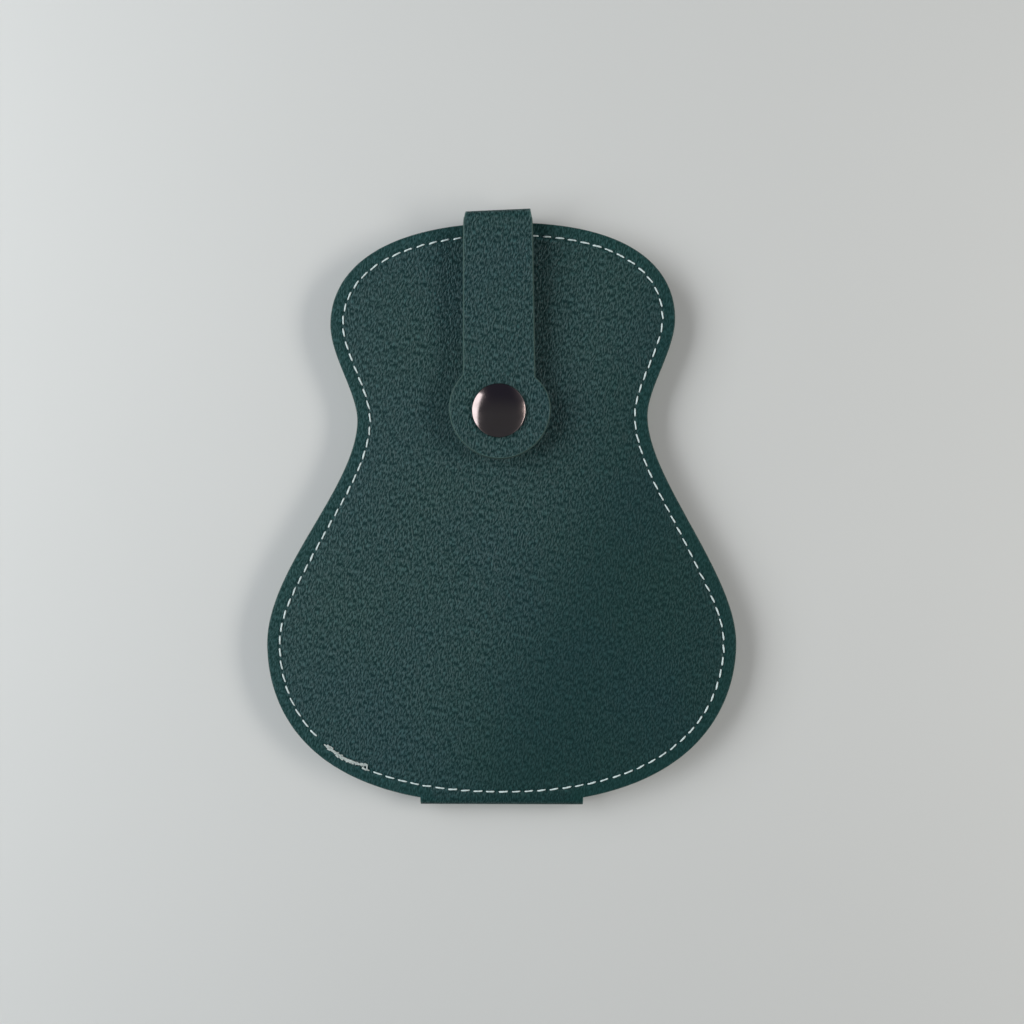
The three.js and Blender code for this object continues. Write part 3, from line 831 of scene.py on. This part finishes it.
def lining_material():
    """Coated lining: a soft matt sheen over a weave of threads 0.4 mm apart that presses through."""
    material, tree, output = new_material("coated_lining_fabric")
    place = add_node(tree, "ShaderNodeUVMap", {"uv_map": "pattern"}).outputs["UV"]
    warp = add_node(tree, "ShaderNodeTexWave", {"bands_direction": "X"},
                    {"Vector": place, "Scale": 0.8, "Distortion": 0.6, "Detail": 2.0})
    weft = add_node(tree, "ShaderNodeTexWave", {"bands_direction": "Y"},
                    {"Vector": place, "Scale": 0.8, "Distortion": 0.6, "Detail": 2.0})
    weave = add_node(tree, "ShaderNodeMath", {"operation": "MAXIMUM"},
                     {0: warp.outputs["Fac"], 1: weft.outputs["Fac"]})
    cloud = add_node(tree, "ShaderNodeTexNoise", inputs={"Vector": place, "Scale": 0.08, "Detail": 3.0})
    tint = add_node(tree, "ShaderNodeMix", {"data_type": "RGBA"},
                    {"Factor": cloud.outputs["Fac"], 6: linear("#1d2f2b"), 7: linear("#243b35")})
    bump = add_node(tree, "ShaderNodeBump", inputs={"Height": weave.outputs["Value"], "Strength": 0.5,
                                                    "Distance": 0.00005})
    surface = add_node(tree, "ShaderNodeBsdfPrincipled", inputs={
        "Base Color": tint.outputs[2], "Roughness": 0.6, "Normal": bump.outputs["Normal"]})
    tree.links.new(surface.outputs["BSDF"], output.inputs["Surface"])
    return material


lining = lining_material()
lining_profile = sheet_profile(LINING_OUTER, LINING_INNER, 0.0, 0.03)
for side, upper in (("front", True), ("back", False)):
    piece = shell(side + "_lining_sheet", half_loop(0.0), lining_profile, 4, flat_place(upper), 4.0,
                  [lining, leather_edge, lining])
    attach(piece, side)
    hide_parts(side + "_lining")


# Pocket bands: three thin leather bands across each half, closed below by a green seam and open above,
# with a thumb notch in the middle of each pocket so that a pick can be pushed up and out.
BAND_OUTER, BAND_INNER = 2.05, 2.45
POCKET_THREAD = 0.26
POCKET_PITCH = 2.5
DIVIDER_PLACE = 15.0
POCKET_SEAM_INSET = 1.2
NOTCH_RADIUS = 5.5
pocket_leather = leather_material("pebbled_pocket_leather", GREENS, 1.0, 0.02, 0.2)
green_thread = thread_material("bonded_green_polyester_thread", "#4f7a70", "#33564f")


def dividers_of(name):
    """The lower bout is wide enough for three pockets side by side, the other bands hold two."""
    return [-DIVIDER_PLACE, DIVIDER_PLACE] if name == "lower" else [0.0]


def band_loop(name, low, high):
    """A band's outline: up the right side, along the notched top, down the left side and along the bottom."""
    right, left = rim_between(low, high, True, 0.0), rim_between(low, high, False, 0.0)
    edge = rim_between(low, high, True, SEAM_INSET)[-1][0]
    walls = [edge, *dividers_of(name)[::-1], -edge]
    lines = [right]
    here = right[-1]
    for a, b in zip(walls, walls[1:]):
        middle = (a + b) / 2
        turns = np.linspace(0, -math.pi, 24)
        arc = np.column_stack([middle + NOTCH_RADIUS * np.cos(turns), high + NOTCH_RADIUS * np.sin(turns)])
        lines += [[here, arc[0]], arc]
        here = arc[-1]
    lines += [[here, left[0]], left, [left[-1], right[0]]]
    return joined(lines, 0.7)


def band_stitches(name, low, high, seed):
    """The bottom seam from side to side, and a seam up between the pockets."""
    draw = random.Random(seed)
    reach = rim_between(low, high, True, SEAM_INSET + 0.8)[0][0]
    bottom = low + POCKET_SEAM_INSET
    lines = [((-reach, bottom), (reach, bottom))]
    lines += [((x, bottom + 0.9), (x, high - POCKET_SEAM_INSET + 0.5)) for x in dividers_of(name)]
    stitches = []
    for start, end in lines:
        start, end = np.array(start), np.array(end)
        length = np.linalg.norm(end - start)
        count = round(length / POCKET_PITCH)
        direction = math.atan2(*(end - start)[::-1])
        for number in range(count):
            x, s = start + (end - start) * (number + 0.5) / count
            turn = direction + math.radians(3 + draw.gauss(0, 1.5))
            stitches.append((x, s, turn, length / count * 0.72, 0.02 - BAND_INNER))
    return stitches


def turned_over(place):
    """For threads on the inner side: their rise is counted towards the inside of the case."""
    def placed(flat):
        return place(flat * (1, 1, -1))
    return placed


band_heights = {}
for name in ("lower", "middle", "upper"):
    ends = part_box(f"back_{name}_pocket_band")
    band_heights[name] = (ends[0].y / MM - fold_edge, ends[1].y / MM - fold_edge)
band_profile = sheet_profile(BAND_OUTER, BAND_INNER, 0.0, 0.05)
for side, upper in (("front", True), ("back", False)):
    for number, (name, (low, high)) in enumerate(band_heights.items()):
        piece = shell(f"{side}_{name}_band", band_loop(name, low, high), band_profile, 4, flat_place(upper),
                      3.0, [pocket_leather, leather_edge, leather_back])
        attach(piece, side)
        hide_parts(f"{side}_{name}_pocket_band")
        stitches = band_stitches(name, low, high, 20 + number)
        piece = thread_piece(f"{side}_{name}_band_seam", stitches, POCKET_THREAD,
                             turned_over(flat_place(upper)), green_thread, 30 + number)
        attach(piece, side)
        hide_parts(f"{side}_{name}_pocket_thread")


def bobbin_depth(s):
    """The bobbin thread lies on the pocket bands and, between them, on the lining."""
    on_band = any(low < s < high for low, high in band_heights.values())
    return 0.03 - BAND_INNER if on_band else -LINING_INNER


for side, upper in (("front", True), ("back", False)):
    stitches = seam_stitches(DASH_LENGTH, bobbin_depth, BOBBIN_SLANT, 9)
    piece = thread_piece(side + "_bobbin_seam", stitches, BOBBIN_THREAD, turned_over(flat_place(upper)),
                         white_thread, 10)
    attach(piece, side)
    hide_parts(side + "_seam_bobbin_thread")


# Strap: a 16 mm strip of the same leather, 1 mm thick, sewn inside the top of the back half. It loops
# over the top edge, ends in a round tab and carries the snap's cap. Its edge is bevelled. The bend is pulled
# flat against the case and draws the sides in a little, and the strap is sewn in slightly askew.
STRAP_THICKNESS = 1.0
BEND_RADIUS = 2.25
END_RADIUS = 11.8
BEND_REACH = 0.81
BEND_PULL = 0.6
BEND_SKEW = 0.0515
STRAP_FLARE = 0.2
STRAP_ROWS = 16
STRAP_STEP = 0.5
END_SHIFT = 0.23
PRESS_DEPTH = 0.2
strap_half = (strap_box[1].x - strap_box[0].x) / 2 / MM
flap_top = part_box("strap_flap")[1].z / MM
bend_outer = BEND_RADIUS + STRAP_THICKNESS / 2
strap_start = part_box("strap_bend")[1].y / MM - fold_edge - bend_outer
high_centre = flap_top - bend_outer
low_centre = strap_box[0].z / MM + bend_outer
end_x = snap_x + END_SHIFT
end_y = (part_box("strap_flap")[0].y / MM - fold_edge) + END_RADIUS
strap_middle = strap_start + BEND_RADIUS * math.pi / 2 + (high_centre - low_centre) / 2


def strap_axis(s):
    """The middle of the strap at a height: it is sewn in slightly askew, so it leans to the left going up."""
    return strap_x + np.interp(s, (strap_start - 35.4, strap_start), (0.06, -0.36))


def ease(value):
    value = np.clip(value, 0, 1)
    return value * value * (3 - 2 * value)


def strap_place(upper):
    """Bends the strap from the flap or from the tongue round to the middle of its loop."""
    def place(flat):
        x, s, depth = flat.T
        beyond = np.clip(s - strap_start, 0, None)
        turn = np.clip(beyond / BEND_RADIUS, 0, math.pi / 2)
        straight = np.clip(beyond - BEND_RADIUS * math.pi / 2, 0, None)
        if not upper:
            skived = 0.15 + depth * 0.7
            depth = skived + (depth - skived) * ease(beyond / 1.2)
        reach = bend_outer - depth
        bulge = reach * BEND_REACH * np.sin(turn)
        axis = strap_axis(s)
        pull = ease((s - strap_start + 2.5) / (strap_middle - strap_start + 2.5)) * BEND_PULL / strap_half
        x = axis + (x - axis) * (1 - pull)
        y = np.minimum(s, strap_start) + bulge + BEND_SKEW * (x - strap_x) * np.sin(turn)
        if upper:
            return np.column_stack([x, y, high_centre + reach * np.cos(turn) - straight])
        return np.column_stack([x, y, low_centre - reach * np.cos(turn) + straight])
    return place


def flap_loop():
    """The strap's outline from its bend down to the round end, which is cut a little flatter at the top."""
    turns = np.linspace(math.pi / 2, math.pi * 2.5, 400)
    pinch = np.where(np.cos(turns) > 0, 0.17, 0.04) * np.clip(np.sin(turns), 0, 1) ** 2
    radius = END_RADIUS * (1 - pinch)
    tab_end = np.column_stack([end_x + radius * np.cos(turns), end_y + radius * np.sin(turns)])
    beside = np.abs(tab_end[:, 0] - strap_axis(tab_end[:, 1])) >= strap_half + STRAP_FLARE
    tab_end = tab_end[(tab_end[:, 1] < end_y) | beside]
    top = strap_axis(strap_start)
    corner_left, corner_right = (top - strap_half, strap_start), (top + strap_half, strap_start)
    return joined([[corner_left, tab_end[0]], tab_end, [tab_end[-1], corner_right],
                   [corner_right, corner_left]], STRAP_STEP)


def tongue_loop():
    """The straight end that is sewn into the back half."""
    low = strap_box[0].y / MM - fold_edge
    left, right = strap_axis(strap_start) - strap_half, strap_axis(strap_start) + strap_half
    corners = [(left, strap_start), (left, low), (right, low), (right, strap_start)]
    return joined(list(zip(corners, corners[1:] + corners[:1])), STRAP_STEP)


def top_columns(loop):
    """Points of a strap's loop along its top edge, from the right to the left corner."""
    found = [i for i in range(len(loop)) if loop[i, 1] > strap_start - 1e-6]
    return sorted(found, key=lambda i: -loop[i, 0])


def flap_relief(points, inset, index):
    """The leather is pressed down under the rim of the cap and rises again round it."""
    gap = np.hypot(points[:, 0] - snap_x, points[:, 1] - snap_y)
    return PRESS_DEPTH * (1 - ease((gap - 6.0) / 1.6))


strap_profile = [(0.1, STRAP_THICKNESS), (0.0, 0.88), (0.05, 0.5), (0.16, 0.15), (0.3, 0.0), (0.36, 0.0)]
flap_outline, tongue_outline = flap_loop(), tongue_loop()
strap_leather = leather_material("pebbled_strap_leather", GREENS, 1.0, 0.3, 0.42)
flap = shell("strap_flap_leather", flap_outline, strap_profile, 4, strap_place(True), 0.8,
             [strap_leather, leather_edge, leather_back],
             (top_columns(flap_outline), strap_middle, STRAP_ROWS), flap_relief, post_hole)
tongue = shell("strap_tongue_leather", tongue_outline, strap_profile, 4, strap_place(False), 1.5,
               [strap_leather, leather_edge, leather_back],
               (top_columns(tongue_outline), strap_middle, STRAP_ROWS))
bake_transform(flap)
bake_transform(tongue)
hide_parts("strap_flap", "strap_bend")
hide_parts("strap_base")


# Snap: a spring snap in gunmetal plated brass. The domed cap is riveted through the strap to the socket,
# and the stud through the front leather to a flanged post. A brass wire ring in the socket grips the stud.
CAP_RADIUS = 6.25
CAP_RIM = 0.32
CAP_STEM_RADIUS = 1.5
RIM_TILT = 25.6
CAP_SINK = 0.2
RIM_STEPS, DOME_STEPS = 12, 26
SOCKET_BORE, SOCKET_RADIUS = 2.4, 5.0
SPRING_GROOVE_RADIUS, SPRING_GROOVE_HALF = 3.6, 0.6
STUD_NECK, STUD_FLANGE = 2.0, 4.8
FLANGE_THICKNESS = 0.45


def metal_material(name, colour, roughness, tarnish):
    """Plated metal: a dark mirror, with faint handling marks about 2 mm across in its polish."""
    material, tree, output = new_material(name)
    place = add_node(tree, "ShaderNodeTexCoord").outputs["Object"]
    marks = add_node(tree, "ShaderNodeTexNoise", inputs={"Vector": place, "Scale": 600.0, "Detail": 5.0})
    polish = add_node(tree, "ShaderNodeMapRange", inputs={"Value": marks.outputs["Fac"], "From Min": 0.3,
                                                          "From Max": 0.7, "To Min": roughness * 0.85,
                                                          "To Max": roughness * 1.25})
    tint = add_node(tree, "ShaderNodeMix", {"data_type": "RGBA"},
                    {"Factor": marks.outputs["Fac"], 6: linear(colour), 7: linear(tarnish)})
    bump = add_node(tree, "ShaderNodeBump", inputs={"Height": marks.outputs["Fac"], "Strength": 0.1,
                                                    "Distance": 0.00002})
    surface = add_node(tree, "ShaderNodeBsdfPrincipled", inputs={
        "Base Color": tint.outputs[2], "Metallic": 1.0, "Roughness": polish.outputs["Result"],
        "Normal": bump.outputs["Normal"]})
    tree.links.new(surface.outputs["BSDF"], output.inputs["Surface"])
    return material


def eased(profile, radius):
    """A turned profile with its corners rounded, apart from its two ends."""
    profile = np.array(profile, float)
    points = [profile[0]]
    for before, corner, after in zip(profile, profile[1:], profile[2:]):
        reach_in = min(radius, np.linalg.norm(before - corner) * 0.45)
        reach_out = min(radius, np.linalg.norm(after - corner) * 0.45)
        start = corner + (before - corner) / np.linalg.norm(before - corner) * reach_in
        end = corner + (after - corner) / np.linalg.norm(after - corner) * reach_out
        points += [(1 - t) ** 2 * start + 2 * t * (1 - t) * corner + t * t * end
                   for t in (0, 0.25, 0.5, 0.75, 1)]
    return np.array([*points, profile[-1]])


def turned_piece(name, profile, material, segments=96):
    """A piece turned on the snap's axis. Its profile of (radius, height) ends on the axis or is closed."""
    profile = np.array(profile, float)
    turns = np.arange(segments) * math.tau / segments
    ring = np.column_stack([np.cos(turns), np.sin(turns)])
    points, lines = [], []
    for radius, height in profile:
        if radius < 1e-6:
            lines.append([len(points)] * segments)
            points.append((snap_x, snap_y, height))
        else:
            lines.append(list(range(len(points), len(points) + segments)))
            points += [(snap_x + radius * x, snap_y + radius * y, height) for x, y in ring]
    faces = []
    closed = profile[0][0] > 1e-6
    for low, high in zip(lines, lines[1:] + lines[:1] if closed else lines[1:]):
        for i in range(segments):
            corners = (low[i], low[(i + 1) % segments], high[(i + 1) % segments], high[i])
            faces.append(tuple(dict.fromkeys(corners)))
    points = np.array(points)
    kinds, from_edge = [0] * len(faces), np.zeros(len(points))
    return finish_mesh(name, points, faces, kinds, points[:, :2], from_edge, [material])


gunmetal = metal_material("gunmetal_plating", "#817776", 0.14, "#766b6a")
dull_gunmetal = metal_material("gunmetal_plating_inside", "#8a827c", 0.3, "#756d69")
brass = metal_material("spring_brass", "#c8a45a", 0.3, "#b08c48")

cap_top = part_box("snap_cap")[1].z / MM - CAP_SINK / 4
cap_base = flap_top - CAP_SINK
post_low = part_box("snap_cap")[0].z / MM
rim_turns = np.radians(np.linspace(-90, 90 - RIM_TILT, RIM_STEPS))
rim_middle = CAP_RADIUS - CAP_RIM
rim_curl = np.column_stack([rim_middle + CAP_RIM * np.cos(rim_turns),
                            cap_base + CAP_RIM * (1 + np.sin(rim_turns))])
shoulder, shoulder_height = rim_curl[-1]
radii = shoulder * np.sin(np.linspace(math.pi / 2, 0, DOME_STEPS))[1:]
dome_power = math.tan(math.radians(RIM_TILT)) * shoulder / (cap_top - shoulder_height)
dome = np.column_stack([radii, cap_top - (cap_top - shoulder_height) * (radii / shoulder) ** dome_power])
dome[-1, 0] = 0
stem = [(0, post_low), (CAP_STEM_RADIUS, post_low), (CAP_STEM_RADIUS, cap_base)]
cap = turned_piece("snap_cap_domed", np.vstack([stem, rim_curl, dome]), gunmetal, 160)
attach(cap, "strap_flap")
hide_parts("snap_cap")

low, high = [corner.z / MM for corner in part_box("snap_socket")]
middle = (low + post_low) / 2
groove_top, groove_floor = middle + SPRING_GROOVE_HALF, middle - SPRING_GROOVE_HALF
socket_profile = eased([(POST_HOLE_RADIUS, post_low), (SOCKET_BORE, post_low), (SOCKET_BORE, groove_top),
                        (SPRING_GROOVE_RADIUS, groove_top), (SPRING_GROOVE_RADIUS, groove_floor),
                        (SOCKET_BORE, groove_floor), (SOCKET_BORE, low), (SOCKET_RADIUS - 0.5, low),
                        (SOCKET_RADIUS, low + 0.5), (SOCKET_RADIUS, high), (POST_HOLE_RADIUS, high),
                        (POST_HOLE_RADIUS, post_low)], 0.15)
socket = turned_piece("snap_socket_ring", socket_profile[:-1], dull_gunmetal)
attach(socket, "strap_flap")
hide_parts("snap_socket")

low, high = [corner.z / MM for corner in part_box("snap_stud")]
flange_top = low + FLANGE_THICKNESS
stud_profile = eased([(1.7, low), (STUD_FLANGE, low), (STUD_FLANGE, flange_top), (STUD_NECK, flange_top),
                      (STUD_NECK, high - 1.2), (STUD_NECK + 0.1, high - 0.6), (1.7, high), (0, high)], 0.15)
stud_inside = eased([(0, high - 0.3), (1.6, high - 0.3), (1.6, low + 0.1), (1.7, low)], 0.1)
stud_profile = np.vstack([stud_profile[::-1], stud_inside[::-1][1:]])[::-1]
stud = turned_piece("snap_stud_turned", stud_profile, dull_gunmetal)
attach(stud, "front")
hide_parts("snap_stud")
for node in ("snap_spring", "snap_post"):
    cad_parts[node].data.materials.clear()
    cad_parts[node].data.materials.append(brass)
